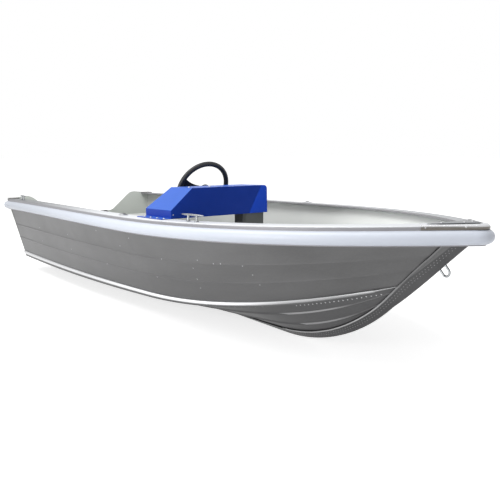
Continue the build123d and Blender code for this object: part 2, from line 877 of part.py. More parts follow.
# Horn cleats: a round bar on two legs with round pads, on the starboard gunwale
# Station of each cleat
cleat_table = (("bow_cleat_starboard", bow_cleat_x), ("stern_cleat_starboard", stern_cleat_x))
for name, x in cleat_table:
    share = x / hull_length
    outward = sheer_outward(share)
    along = Vector(-outward.Y, outward.X, 0)
    foot = sheer_edge(share) - outward * (gunwale_width / 2) + Vector(0, 0, cleat_lift)
    base_plane = Plane(origin=foot, x_dir=along, z_dir=(0, 0, 1))
    with BuildPart() as cleat:
        with BuildSketch(base_plane):
            with GridLocations(cleat_leg_spacing, 0, 2, 1):
                Circle(cleat_pad_radius)
        extrude(amount=cleat_pad_sheet)
        with BuildSketch(base_plane):
            with GridLocations(cleat_leg_spacing, 0, 2, 1):
                Circle(cleat_leg_radius)
        extrude(amount=cleat_height - cleat_bar_radius)
        bar_centre = foot + Vector(0, 0, cleat_height - cleat_bar_radius)
        with BuildSketch(Plane(origin=bar_centre - along * (cleat_length / 2), z_dir=along)):
            Circle(cleat_bar_radius)
        extrude(amount=cleat_length)
    save(cleat.part, name)

# Bow eye: a bent rod through the stem band
eye_x = stem_foot_x + bow_eye_z / stem_rise
eye_along = Vector(math.cos(math.radians(stem_angle)), 0, math.sin(math.radians(stem_angle)))
eye_out = keel_inward(eye_x) * -1
eye_feet_x = (eye_x - bow_eye_width, eye_x, eye_x + bow_eye_width)
eye_seat = seam_gap - min(inside for x in eye_feet_x for across, inside in band_section(x))
eye_start = place(eye_x, 0, bow_eye_z) + eye_out * eye_seat
eye_plane = Plane(origin=eye_start, x_dir=eye_along, z_dir=eye_along.cross(eye_out))
eye_half = bow_eye_width / 2 - bow_eye_rod_radius
with BuildPart() as bow_eye:
    with BuildLine(eye_plane) as eye_path:
        straight = bow_eye_reach - eye_half - bow_eye_rod_radius
        Line((-eye_half, 0), (-eye_half, straight))
        ThreePointArc((-eye_half, straight), (0, straight + eye_half), (eye_half, straight))
        Line((eye_half, straight), (eye_half, 0))
    with BuildSketch(Plane(origin=eye_plane.from_local_coords((-eye_half, 0, 0)), z_dir=eye_out)):
        Circle(bow_eye_rod_radius)
    sweep()
save(bow_eye.part, "bow_eye")

# Rowlock sockets: a round boss on a plate, with the bore for the rowlock's pin
rowlock_share = rowlock_x / hull_length
rowlock_outward = sheer_outward(rowlock_share)
rowlock_foot = sheer_edge(rowlock_share) - rowlock_outward * (gunwale_width / 2) + Vector(0, 0, cleat_lift)
rowlock_plane = Plane(
    origin=rowlock_foot, x_dir=Vector(-rowlock_outward.Y, rowlock_outward.X, 0), z_dir=(0, 0, 1)
)
with BuildPart() as rowlock:
    with BuildSketch(rowlock_plane):
        RectangleRounded(rowlock_plate_length, rowlock_plate_width, rowlock_plate_width / 4)
    extrude(amount=rowlock_plate_sheet)
    with BuildSketch(rowlock_plane):
        Circle(rowlock_boss_radius)
    extrude(amount=rowlock_height)
    with BuildSketch(rowlock_plane):
        Circle(rowlock_bore_radius)
    extrude(amount=rowlock_height, mode=Mode.SUBTRACT)
save_pair(rowlock.part, "rowlock_socket")
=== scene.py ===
import bpy
import json
import math
from mathutils import Matrix, Vector
from mathutils.bvhtree import BVHTree


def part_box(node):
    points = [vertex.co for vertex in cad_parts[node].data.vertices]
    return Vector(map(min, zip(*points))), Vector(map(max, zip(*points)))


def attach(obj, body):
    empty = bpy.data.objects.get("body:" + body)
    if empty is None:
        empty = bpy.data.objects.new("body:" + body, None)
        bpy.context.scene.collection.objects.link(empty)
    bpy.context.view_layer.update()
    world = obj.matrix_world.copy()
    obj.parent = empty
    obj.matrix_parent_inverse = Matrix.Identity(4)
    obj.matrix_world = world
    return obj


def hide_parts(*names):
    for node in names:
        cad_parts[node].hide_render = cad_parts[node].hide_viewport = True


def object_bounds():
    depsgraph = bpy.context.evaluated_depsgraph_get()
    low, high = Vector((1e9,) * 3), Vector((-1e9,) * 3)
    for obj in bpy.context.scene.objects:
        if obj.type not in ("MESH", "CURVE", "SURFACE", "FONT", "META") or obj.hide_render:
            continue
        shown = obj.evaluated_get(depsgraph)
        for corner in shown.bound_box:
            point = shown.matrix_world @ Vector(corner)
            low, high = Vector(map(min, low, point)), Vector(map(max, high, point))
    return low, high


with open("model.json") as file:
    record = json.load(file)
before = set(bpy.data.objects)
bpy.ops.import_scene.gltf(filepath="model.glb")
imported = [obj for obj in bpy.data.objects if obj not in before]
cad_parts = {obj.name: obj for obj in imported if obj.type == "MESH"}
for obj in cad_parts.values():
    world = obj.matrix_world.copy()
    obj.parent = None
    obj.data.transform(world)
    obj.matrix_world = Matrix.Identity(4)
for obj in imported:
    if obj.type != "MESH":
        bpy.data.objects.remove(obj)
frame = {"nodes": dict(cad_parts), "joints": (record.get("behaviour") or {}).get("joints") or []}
cad_low, cad_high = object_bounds()

# Side plates: two pressed aluminium sheets from the chine to the sheer, left bare outside and painted
# light grey inside. They are riveted to the frames, the chine rails and the gunwale extrusions.
sides = {"starboard": 1, "port": -1}
# Painted shade along the plates: the bare metal is darkened from the stern forwards, most just forward of
# amidships.
plate_painted_shade = ((-2.0, 1.0), (-0.9, 0.97), (-0.3, 0.87), (0.35, 0.76), (0.9, 0.84), (2.0, 0.84))
# Painted light and shade up the inside: the paint is lighter near the gunwale, where its overhang shades the
# wall, and darker lower down.
inside_painted_light = ((0.25, 0.52), (0.37, 0.58), (0.45, 0.70), (0.51, 1.0))
painted_light_reach = 2.05
shade_range = (0.3, 0.7)
cloud_detail = 5.0
grain_detail = 3.0
grain_share = 0.25
swell_scale = 3.2
merge_distance = 0.00001
smooth_limit = math.radians(24)
facing_in = 0.3


def select_only(piece):
    """Select one piece and make it the active one."""
    bpy.ops.object.select_all(action="DESELECT")
    piece.select_set(True)
    bpy.context.view_layer.objects.active = piece


def finish(name, dark, light, clouds=4.0, grain=260.0, stretch=(1, 1, 1), rough=(0.4, 0.5), relief=0.0002,
           waves=0.0, metallic=0.0, specular=0.5, painted_shade_flank=None, facing_up=(0.1, 0.75), along=None, axis="X"):
    """A material that drifts between two shades, with a fine grain and slow waves in its surface.
    The stops along an axis, each a distance and a share of the colour, scale it as painted light and shade,
    and a shade colour takes over as painted shade on the faces that don't look up."""
    made = bpy.data.materials.new(name)
    made.use_nodes = True
    nodes = made.node_tree.nodes
    links = made.node_tree.links
    shader = nodes["Principled BSDF"]
    shader.inputs["Metallic"].default_value = metallic
    shader.inputs["Specular IOR Level"].default_value = specular
    place = nodes.new("ShaderNodeTexCoord")
    mapping = nodes.new("ShaderNodeMapping")
    mapping.inputs["Scale"].default_value = stretch
    links.new(place.outputs["Object"], mapping.inputs["Vector"])
    drift = nodes.new("ShaderNodeTexNoise")
    drift.inputs["Scale"].default_value = clouds
    drift.inputs["Detail"].default_value = cloud_detail
    links.new(mapping.outputs["Vector"], drift.inputs["Vector"])
    fine = nodes.new("ShaderNodeTexNoise")
    fine.inputs["Scale"].default_value = grain
    fine.inputs["Detail"].default_value = grain_detail
    links.new(mapping.outputs["Vector"], fine.inputs["Vector"])
    both = nodes.new("ShaderNodeMix")
    both.inputs["Factor"].default_value = grain_share
    links.new(drift.outputs["Fac"], both.inputs["A"])
    links.new(fine.outputs["Fac"], both.inputs["B"])
    shades = nodes.new("ShaderNodeValToRGB")
    for end, spot, shade in zip(shades.color_ramp.elements, shade_range, (dark, light)):
        end.position = spot
        end.color = (*shade, 1)
    links.new(both.outputs["Result"], shades.inputs["Fac"])
    colour = shades.outputs["Color"]
    # Painted light and shade along an axis: each stop scales the colour by its share.
    if along is not None:
        position = nodes.new("ShaderNodeSeparateXYZ")
        links.new(place.outputs["Object"], position.inputs["Vector"])
        run = nodes.new("ShaderNodeMapRange")
        run.inputs["From Min"].default_value = -painted_light_reach
        run.inputs["From Max"].default_value = painted_light_reach
        links.new(position.outputs[axis], run.inputs["Value"])
        painted_light_ramp = nodes.new("ShaderNodeValToRGB")
        stops = painted_light_ramp.color_ramp.elements
        ready = len(stops)
        for number, (distance, share) in enumerate(along):
            spot = (distance + painted_light_reach) / (2 * painted_light_reach)
            stop = stops[number] if number < ready else stops.new(spot)
            stop.position = spot
            stop.color = (share, share, share, 1)
        links.new(run.outputs["Result"], painted_light_ramp.inputs["Fac"])
        painted_light_mix = nodes.new("ShaderNodeMix")
        painted_light_mix.data_type = "RGBA"
        painted_light_mix.blend_type = "MULTIPLY"
        painted_light_mix.inputs["Factor"].default_value = 1.0
        links.new(colour, painted_light_mix.inputs["A"])
        links.new(painted_light_ramp.outputs["Color"], painted_light_mix.inputs["B"])
        colour = painted_light_mix.outputs["Result"]
    # Painted shade: a darker colour on the faces that don't look up.
    if painted_shade_flank is not None:
        facing = nodes.new("ShaderNodeNewGeometry")
        split = nodes.new("ShaderNodeSeparateXYZ")
        links.new(facing.outputs["Normal"], split.inputs["Vector"])
        upward = nodes.new("ShaderNodeMapRange")
        upward.inputs["From Min"].default_value, upward.inputs["From Max"].default_value = facing_up
        links.new(split.outputs["Z"], upward.inputs["Value"])
        turned = nodes.new("ShaderNodeMix")
        turned.data_type = "RGBA"
        turned.inputs["A"].default_value = (*painted_shade_flank, 1)
        links.new(upward.outputs["Result"], turned.inputs["Factor"])
        links.new(colour, turned.inputs["B"])
        colour = turned.outputs["Result"]
    links.new(colour, shader.inputs["Base Color"])
    gloss = nodes.new("ShaderNodeMapRange")
    gloss.inputs["To Min"].default_value, gloss.inputs["To Max"].default_value = rough
    links.new(both.outputs["Result"], gloss.inputs["Value"])
    links.new(gloss.outputs["Result"], shader.inputs["Roughness"])
    swell = nodes.new("ShaderNodeTexNoise")
    swell.inputs["Scale"].default_value = swell_scale
    swell.inputs["Detail"].default_value = 0.0
    links.new(place.outputs["Object"], swell.inputs["Vector"])
    wave = nodes.new("ShaderNodeBump")
    wave.inputs["Distance"].default_value = waves
    links.new(swell.outputs["Fac"], wave.inputs["Height"])
    bump = nodes.new("ShaderNodeBump")
    bump.inputs["Distance"].default_value = relief
    links.new(fine.outputs["Fac"], bump.inputs["Height"])
    links.new(wave.outputs["Normal"], bump.inputs["Normal"])
    links.new(bump.outputs["Normal"], shader.inputs["Normal"])
    return made


def copy_of(model, name):
    """A copy of a modelled piece, with a mesh of its own."""
    copy = bpy.data.objects.new(name, model.data.copy())
    bpy.context.scene.collection.objects.link(copy)
    return copy


def cad_copy(node, *materials):
    """A smooth, merged copy of a CAD node that stands for it, with its own materials."""
    piece = copy_of(frame["nodes"][node], f"{node}_skin")
    piece.data.materials.clear()
    for material in materials:
        piece.data.materials.append(material)
    select_only(piece)
    bpy.ops.object.mode_set(mode="EDIT")
    bpy.ops.mesh.select_all(action="SELECT")
    bpy.ops.mesh.remove_doubles(threshold=merge_distance)
    bpy.ops.object.mode_set(mode="OBJECT")
    if piece.data.has_custom_normals:
        bpy.ops.mesh.customdata_custom_splitnormals_clear()
    bpy.ops.object.shade_smooth_by_angle(angle=smooth_limit)
    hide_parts(node)
    return piece


def paint_faces(piece, slot, chosen):
    """Give a material slot to the faces that a test on their normal and centre picks."""
    for face in piece.data.polygons:
        if chosen(face.normal, face.center):
            face.material_index = slot


plate_metal = finish("rolled_plate", dark=(0.135, 0.135, 0.136), light=(0.185, 0.185, 0.187), clouds=2.2,
                     grain=90, stretch=(0.25, 2, 2), rough=(0.40, 0.52), relief=0.0002, waves=0.010,
                     metallic=0.9, along=plate_painted_shade)
inside_paint = finish("inside_paint", dark=(0.85, 0.875, 0.85), light=(0.91, 0.93, 0.91), clouds=3,
                      grain=320, rough=(0.42, 0.55), along=inside_painted_light, axis="Z")
for side, inboard in sides.items():
    plate = cad_copy(f"side_{side}", plate_metal, inside_paint)
    paint_faces(plate, 1, lambda normal, centre: normal.y * inboard > facing_in)
    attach(plate, "boat")

# Frame rivets: low round heads of soft aluminium, driven where the side plates lie on the frames inside.
# One head is turned on its flat, and every rivet is a copy of it that stands on the plate.
rivet_radius = 0.0036
rivet_rise = 0.5
rivet_sink = 0.0003
rivet_smooth_limit = math.radians(50)
well_clear = 2
frame_rivets = (
    (0.725, 0.313), (0.648, 0.258), (0.615, 0.189), (0.587, 0.131), (0.432, 0.281), (0.258, 0.146),
    (0.987, 0.313), (1.003, 0.266), (0.998, 0.210), (0.823, 0.306), (0.868, 0.311), (0.203, 0.375),
    (0.028, 0.307), (-0.211, 0.375), (-0.281, 0.149), (-0.75, 0.29), (-0.79, 0.18), (-1.32, 0.28),
    (-1.36, 0.17),
)
rivet_metal = finish("rivet_metal", dark=(0.36, 0.36, 0.37), light=(0.50, 0.50, 0.51), clouds=40,
                     grain=600, rough=(0.3, 0.42), metallic=1.0)
bpy.ops.object.select_all(action="DESELECT")
bpy.ops.mesh.primitive_uv_sphere_add(segments=10, ring_count=6, radius=rivet_radius)
rivet_head = bpy.context.active_object
bpy.ops.object.mode_set(mode="EDIT")
bpy.ops.mesh.select_all(action="SELECT")
bpy.ops.mesh.bisect(plane_co=(0, 0, 0), plane_no=(0, 0, 1), clear_inner=True, use_fill=True)
bpy.ops.mesh.select_all(action="SELECT")
bpy.ops.transform.resize(value=(1, 1, rivet_rise), center_override=(0, 0, 0))
bpy.ops.object.mode_set(mode="OBJECT")
bpy.ops.object.shade_smooth_by_angle(angle=rivet_smooth_limit)


def surface_of(node):
    """A CAD node's surface, for finding where a fastener stands on it."""
    mesh = frame["nodes"][node].data
    points = [point.co for point in mesh.vertices]
    return BVHTree.FromPolygons(points, [face.vertices for face in mesh.polygons])


def spot_on(surface, start, towards):
    """The place where a line from outside meets a surface, and the surface's direction there."""
    return surface.ray_cast(Vector(start), Vector(towards))[:2]


def spot_beside(surface, inboard, x, z):
    """The spot that a level line from outboard meets, at a distance along the boat and a height."""
    return spot_on(surface, (x, -inboard * well_clear, z), (0, inboard, 0))


def join_pieces(name, pieces):
    """Join pieces of one casting or one row into a single object at the origin."""
    bpy.ops.object.select_all(action="DESELECT")
    for piece in pieces:
        piece.select_set(True)
    bpy.context.view_layer.objects.active = pieces[0]
    bpy.ops.object.transform_apply(location=True, rotation=True, scale=True)
    bpy.ops.object.join()
    joined = bpy.context.active_object
    joined.name = name
    return joined


def give_material(piece, material):
    """Make one material the only one of a piece."""
    piece.data.materials.clear()
    piece.data.materials.append(material)


def stand_on(head, spots, name, material):
    """Copies of one fastener's head, each upright on its spot, joined into one row that rides on the boat."""
    copies = []
    for place, normal in spots:
        one = copy_of(head, name)
        turn = normal.to_track_quat("Z", "Y").to_matrix().to_4x4()
        one.data.transform(Matrix.Translation(place - normal * rivet_sink) @ turn)
        copies.append(one)
    row = join_pieces(name, copies)
    give_material(row, material)
    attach(row, "boat")


for side, inboard in sides.items():
    plate_surface = surface_of(f"side_{side}")
    spots = [spot_beside(plate_surface, inboard, x, z) for x, z in frame_rivets]
    stand_on(rivet_head, spots, f"frame_rivets_{side}", rivet_metal)

# Bottom plates: the same rolled sheet, coloured darker than the sides as painted shade, pressed with two
# strakes a side whose outer facets are painted lighter as a highlight. Their upper faces are painted with the
# rest of the inside.
strake_facing = 0.8
strake_upright = 0.3
strake_end = 1.4
# Painted highlight on the strakes' outer facets, brightest just aft of the bow and fading at both ends.
strake_painted_highlight = ((-2.0, 0.6), (0.9, 0.7), (1.05, 1.0), (1.25, 0.85), (1.38, 0.35), (2.0, 0.35))
# The bottom sheet is coloured darker than the side plates as painted shade.
bottom_shaded_metal = finish("bottom_plate_painted_shade", dark=(0.085, 0.085, 0.087), light=(0.122, 0.122, 0.124), clouds=2.2,
                      grain=90, stretch=(0.25, 2, 2), rough=(0.42, 0.54), relief=0.0002, waves=0.008,
                      metallic=0.9)
strake_highlight_metal = finish("strake_highlight_metal", dark=(0.24, 0.24, 0.245), light=(0.33, 0.33, 0.335), clouds=2.2,
                      grain=90, stretch=(0.25, 2, 2), rough=(0.36, 0.46), metallic=0.9, along=strake_painted_highlight)
for side, inboard in sides.items():
    plate = cad_copy(f"bottom_{side}", bottom_shaded_metal, inside_paint, strake_highlight_metal)
    paint_faces(plate, 1, lambda normal, centre: normal.z > facing_in)
    paint_faces(plate, 2, lambda normal, centre: normal.y * inboard < -strake_facing
                and abs(normal.z) < strake_upright and centre.x < strake_end)
    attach(plate, "boat")

# Chine rails: extrusions over the seam of side and bottom, with a bright bead above a riveted lip. The lip,
# its rivets and the bead's underside are coloured dark as painted shade, and the rail darkens towards both
# ends as painted shade.
# They run from the transom to the bow, where a hammered tip tapers away against the stem band.
seam_level = -0.006
seam_lift_start = 0.049
seam_lift_run = 1.655
seam_lift = 0.306
lip_rivet_start = -1.86
lip_rivet_pitch = 0.044
lip_rivet_count = 77
lip_rivet_drop = 0.008
seam_rivet_start = 1.10
seam_rivet_pitch = 0.022
seam_rivet_count = 20
seam_rivet_drop = 0.007
rail_reach = 0.02
rail_tip_end = 1.60
rail_tip_steps = 16
rail_tip_radius = 0.0066
rail_tip_least = 0.4
rail_tip_lap = 0.010
rail_tip_rise = 0.0076
rail_tip_stand_off = 0.005
lip_margin = 0.001
bead_resolution = 3
bead_smooth_limit = math.radians(50)
# Painted shade along the rail, darker towards the stern and far darker towards the bow; the bead's underside
# takes a dark colour as painted shade.
rail_painted_shade = ((-2.0, 0.62), (-0.6, 0.74), (0.15, 1.0), (0.75, 1.0), (1.05, 0.48), (1.35, 0.29), (1.6, 0.24))
chine_metal = finish("chine_metal", dark=(0.82, 0.825, 0.84), light=(0.93, 0.935, 0.95), clouds=3,
                     grain=160, stretch=(0.2, 2, 2), rough=(0.30, 0.42), metallic=0.9,
                     painted_shade_flank=(0.115, 0.115, 0.117), facing_up=(-0.72, -0.54), along=rail_painted_shade)
lip_painted_shade_metal = finish("lip_painted_shade_metal", dark=(0.10, 0.10, 0.102), light=(0.15, 0.15, 0.152), clouds=3, grain=160,
                   stretch=(0.2, 2, 2), rough=(0.40, 0.52), metallic=0.9)
# The lip's rivets are coloured darker than the others as painted shade.
lip_rivet_painted_shade = finish("lip_rivet_painted_shade", dark=(0.15, 0.15, 0.152), light=(0.22, 0.22, 0.222),
                         clouds=40, grain=600, rough=(0.35, 0.48), metallic=0.9)


def seam_height(x):
    """Height of the seam between side and bottom at a distance along the boat."""
    share = max(0.0, (x - seam_lift_start) / seam_lift_run)
    return seam_level + seam_lift * share**2


def bead_along(name, points, radii, thickness, material):
    """A round bead along points, thicker or thinner at each by its radius, closed at both ends."""
    line = bpy.data.curves.new(name, "CURVE")
    line.dimensions = "3D"
    line.bevel_depth = thickness
    line.bevel_resolution = bead_resolution
    line.use_fill_caps = True
    path = line.splines.new("POLY")
    path.points.add(len(points) - 1)
    for number, point in enumerate(points):
        path.points[number].co = (*point, 1)
        path.points[number].radius = radii[number]
    bead = bpy.data.objects.new(name, line)
    bpy.context.scene.collection.objects.link(bead)
    select_only(bead)
    bpy.ops.object.convert(target="MESH")
    bead = bpy.context.active_object
    give_material(bead, material)
    bpy.ops.object.shade_smooth_by_angle(angle=bead_smooth_limit)
    return bead


for side, inboard in sides.items():
    rail = cad_copy(f"chine_rail_{side}", chine_metal, lip_painted_shade_metal)
    # The lip below the seam takes the dark lip colour as painted shade.
    paint_faces(rail, 1, lambda normal, centre: centre.z < seam_height(centre.x) - lip_margin)
    rail_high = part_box(f"chine_rail_{side}")[1]
    plate_surface = surface_of(f"side_{side}")
    tip_start = rail_high.x - rail_tip_lap
    tip_points = []
    tip_radii = []
    for number in range(rail_tip_steps + 1):
        share = number / rail_tip_steps
        x = tip_start + share * (rail_tip_end - tip_start)
        taper = 1 - (1 - rail_tip_least) * share
        height = seam_height(x) + rail_tip_rise
        place, normal = spot_beside(plate_surface, inboard, x, height)
        tip_points.append(place - Vector((0, inboard * rail_tip_stand_off * taper, 0)))
        tip_radii.append(taper)
    tip = bead_along(f"chine_tip_{side}", tip_points, tip_radii, rail_tip_radius, chine_metal)
    for piece in (rail, tip):
        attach(piece, "boat")
    rail_surface = surface_of(f"chine_rail_{side}")
    bottom_surface = surface_of(f"bottom_{side}")
    spots = []
    for number in range(lip_rivet_count):
        x = lip_rivet_start + number * lip_rivet_pitch
        place, normal = spot_beside(rail_surface, inboard, x, seam_height(x) - lip_rivet_drop)
        if place is not None:
            spots.append((place, normal))
    stand_on(rivet_head, spots, f"lip_rivets_{side}", lip_rivet_painted_shade)
    rail_points = [point.co for point in rail.data.vertices]
    spots = []
    for number in range(seam_rivet_count):
        x = seam_rivet_start + number * seam_rivet_pitch
        rail_low = min(point.z for point in rail_points if abs(point.x - x) < rail_reach)
        spots.append(spot_beside(bottom_surface, inboard, x, rail_low - seam_rivet_drop))
    stand_on(rivet_head, spots, f"seam_rivets_{side}", rivet_metal)

# Keel bar and stem band: dull folded sheet over the joint of the two bottom plates.
# The band goes up the stem, held by two staggered rows of small rivets a side, with a bead of sealant
# along each edge, painted bright as a highlight at the forefoot and dimmer up the straight stem.
stem_turn = math.radians(43.4)
forefoot_radius = 1.05
stem_straight = 0.52
band_half_width = 0.043
band_rivet_pitch = 0.018
band_rivet_rows = ((0.007, 0.0), (0.015, 0.5))
band_rivet_size = 0.7
edge_step = 0.001
edge_pitch = 0.03
edge_bead_radius = 0.0058
edge_bead_reach = 0.0048
edge_bead_least = 0.7
edge_swell_start = 1.45
edge_swell_run = 0.15
band_metal = finish("band_metal", dark=(0.068, 0.068, 0.070), light=(0.100, 0.100, 0.102), clouds=4,
                    grain=180, rough=(0.42, 0.55), metallic=0.9)
band_rivet_metal = finish("band_rivet_metal", dark=(0.17, 0.17, 0.172), light=(0.26, 0.26, 0.262),
                          clouds=40, grain=600, rough=(0.35, 0.48), metallic=0.9)
# Painted highlight along the edge beads, full at the forefoot and dimmed up the straight stem.
edge_painted_highlight = ((0.7, 1.0), (1.45, 1.0), (1.62, 0.42), (2.0, 0.36))
edge_highlight_metal = finish("edge_highlight_metal", dark=(0.34, 0.34, 0.345), light=(0.44, 0.44, 0.445), clouds=9,
                    grain=300, rough=(0.3, 0.42), metallic=0.9, along=edge_painted_highlight)


def stem_line(distance):
    """A point of the keel line at a distance along it from the forefoot, and the way inwards from there."""
    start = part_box("stem_band")[0]
    turned = min(distance / forefoot_radius, stem_turn)
    rest = distance - turned * forefoot_radius
    x = start.x + forefoot_radius * math.sin(turned) + rest * math.cos(turned)
    z = start.z + forefoot_radius * (1 - math.cos(turned)) + rest * math.sin(turned)
    return Vector((x, 0, z)), Vector((-math.sin(turned), 0, math.cos(turned)))


keel = cad_copy("keel_bar", band_metal)
stem = cad_copy("stem_band", band_metal, plate_metal, inside_paint)
for edge in (-band_half_width, band_half_width):
    bpy.ops.object.mode_set(mode="EDIT")
    bpy.ops.mesh.select_all(action="SELECT")
    bpy.ops.mesh.bisect(plane_co=(0, edge, 0), plane_no=(0, 1, 0))
    bpy.ops.object.mode_set(mode="OBJECT")
paint_faces(stem, 1, lambda normal, centre: abs(centre.y) > band_half_width)
inside_of_stem = stem_line(forefoot_radius * stem_turn)[1]
paint_faces(stem, 2, lambda normal, centre: normal.dot(inside_of_stem) > facing_in)
for band in (keel, stem):
    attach(band, "boat")
band_rivet = copy_of(rivet_head, "band_rivet")
band_rivet.data.transform(Matrix.Scale(band_rivet_size, 4))
band_length = forefoot_radius * stem_turn + stem_straight
band_surface = surface_of("stem_band")
for side, inboard in sides.items():
    outwards = Vector((0, -inboard, 0))
    spots = []
    for inset, stagger in band_rivet_rows:
        for number in range(1, int(band_length / band_rivet_pitch)):
            point, inwards = stem_line((number + stagger) * band_rivet_pitch)
            ahead_of_it = point - inwards
            half = band_half_width
            place = None
            while place is None and half > inset:
                place, normal = spot_on(band_surface, ahead_of_it + outwards * half, inwards)
                half -= edge_step
            place, normal = spot_on(band_surface, ahead_of_it + outwards * (half - inset), inwards)
            if place is not None:
                spots.append((place, normal))
    stand_on(band_rivet, spots, f"band_rivets_{side}", band_rivet_metal)
    edge_points = []
    edge_radii = []
    for number in range(1, int(band_length / edge_pitch)):
        point, inwards = stem_line(number * edge_pitch)
        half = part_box("stem_band")[1].y
        place = None
        while place is None and half > 0:
            place, normal = spot_on(band_surface, point - inwards + outwards * half, inwards)
            half -= edge_step
        if place is not None:
            upper = min(1.0, max(0.0, (place.x - edge_swell_start) / edge_swell_run))
            size = edge_bead_least + (1 - edge_bead_least) * upper
            edge_points.append(place + (outwards * edge_bead_reach - normal * edge_bead_radius) * size)
            edge_radii.append(size)
    bead = bead_along(f"band_sealant_{side}", edge_points, edge_radii, edge_bead_radius, edge_highlight_metal)
    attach(bead, "boat")

# Gunwale extrusions: bare metal, the top painted light as a reflection of the sky and the outer web painted
# dark as shade, each darkened along its length as painted shade. Each is one length from the transom corner
# to the stem, bent to the sheer.
gunwale_painted_shade = {
    "starboard": ((-2.0, 0.25), (-1.2, 0.29), (-0.5, 0.58), (0.1, 0.94), (2.0, 0.90)),
    "port": ((-2.0, 0.70), (0.2, 0.68), (1.2, 0.56), (2.0, 0.50)),
}
for side in sides:
    sheen_and_shade = finish(f"gunwale_sheen_and_shade_{side}", dark=(0.78, 0.80, 0.83), light=(0.87, 0.89, 0.92), clouds=3,
                  grain=300, stretch=(0.4, 2, 2), rough=(0.38, 0.5), metallic=0.2, specular=0.15,
                  painted_shade_flank=(0.31, 0.305, 0.32), along=gunwale_painted_shade[side])
    gunwale = cad_copy(f"gunwale_{side}", sheen_and_shade)
    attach(gunwale, "boat")

# Fender: white vinyl, clipped to the gunwale web in one length round the bow, darkened towards the stern as
# painted shade.
# Its ends are cut on a slant at the transom corners.
fender_painted_shade = ((-2.0, 0.76), (-1.0, 0.80), (0.0, 0.92), (0.9, 1.0), (2.05, 1.04))
vinyl = finish("white_vinyl", dark=(0.63, 0.67, 0.755), light=(0.69, 0.73, 0.815), clouds=2, grain=420,
               rough=(0.32, 0.42), relief=0.0001, along=fender_painted_shade)
fender = cad_copy("fender", vinyl)
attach(fender, "boat")

# Bow trim: a polished strip over the gunwale edges and a flat breasthook that ties both gunwales.
# Plain round heads hold the strip near the nose and near each end.
flat_limit = math.radians(0.5)
crease_limit = math.radians(32)
round_limit = math.radians(40)
hook_edge = 0.0012
# The strip's top is bright and its sides take a dark colour as painted shade.
trim_metal = finish("trim_metal", dark=(0.66, 0.67, 0.69), light=(0.80, 0.81, 0.83), clouds=8, grain=200,
                    rough=(0.2, 0.32), metallic=0.95, painted_shade_flank=(0.16, 0.148, 0.135))
hook_metal = finish("hook_metal", dark=(0.18, 0.19, 0.20), light=(0.26, 0.27, 0.285), clouds=6, grain=160,
                    rough=(0.3, 0.45), metallic=0.9)
cap = cad_copy("bow_cap", trim_metal)
hook = cad_copy("breasthook", hook_metal)


def soften(piece, width, segments=2):
    """Round the sharp edges of a piece that was folded, cast or sawn."""
    select_only(piece)
    bpy.ops.object.mode_set(mode="EDIT")
    bpy.ops.mesh.select_all(action="SELECT")
    bpy.ops.mesh.dissolve_limited(angle_limit=flat_limit)
    bpy.ops.object.mode_set(mode="OBJECT")
    bevel = piece.modifiers.new("soft_edges", "BEVEL")
    bevel.width = width
    bevel.segments = segments
    bevel.limit_method = "ANGLE"
    bevel.angle_limit = crease_limit
    bpy.ops.object.modifier_apply(modifier=bevel.name)
    bpy.ops.object.shade_smooth_by_angle(angle=round_limit)


soften(hook, hook_edge)
for piece in (cap, hook):
    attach(piece, "boat")

# Bolts: round heads over a plain washer, used wherever a fitting is screwed down.
# One is turned and every bolt is a copy of it.
washer_radius = 0.0085
washer_sheet = 0.0016
washer_edge = washer_sheet / 4
bolt_radius = 0.0055
cap_bolts = ((1.940, 0.569), (1.823, 0.561))
hook_bolts = ((1.905, 0.026), (1.905, -0.026), (1.842, 0.088), (1.842, -0.088))


def bevel_all(offset, segments):
    """Bevel every edge of the piece that was added last."""
    bpy.ops.object.mode_set(mode="EDIT")
    bpy.ops.mesh.select_all(action="SELECT")
    bpy.ops.mesh.bevel(offset=offset, segments=segments)
    bpy.ops.object.mode_set(mode="OBJECT")


def spot_below(surface, x, y):
    """The spot that an upright line from above meets."""
    return spot_on(surface, (x, y, well_clear), (0, 0, -1))


bpy.ops.object.select_all(action="DESELECT")
bpy.ops.mesh.primitive_cylinder_add(vertices=20, radius=washer_radius, depth=washer_sheet,
                                    location=(0, 0, washer_sheet / 2))
washer = bpy.context.active_object
bevel_all(washer_edge, segments=1)
crown = copy_of(rivet_head, "crown")
crown.data.transform(Matrix.Translation((0, 0, washer_sheet)) @ Matrix.Scale(bolt_radius / rivet_radius, 4))
bolt = join_pieces("bolt", [washer, crown])
bpy.ops.object.shade_smooth_by_angle(angle=round_limit)
hook_surface = surface_of("breasthook")
spots = [spot_below(hook_surface, x, y) for x, y in hook_bolts]
stand_on(bolt, spots, "breasthook_bolts", rivet_metal)
cap_surface = surface_of("bow_cap")
spots = [spot_beside(cap_surface, inboard, x, z) for x, z in cap_bolts for inboard in sides.values()]
stand_on(rivet_head, spots, "cap_bolts", rivet_metal)

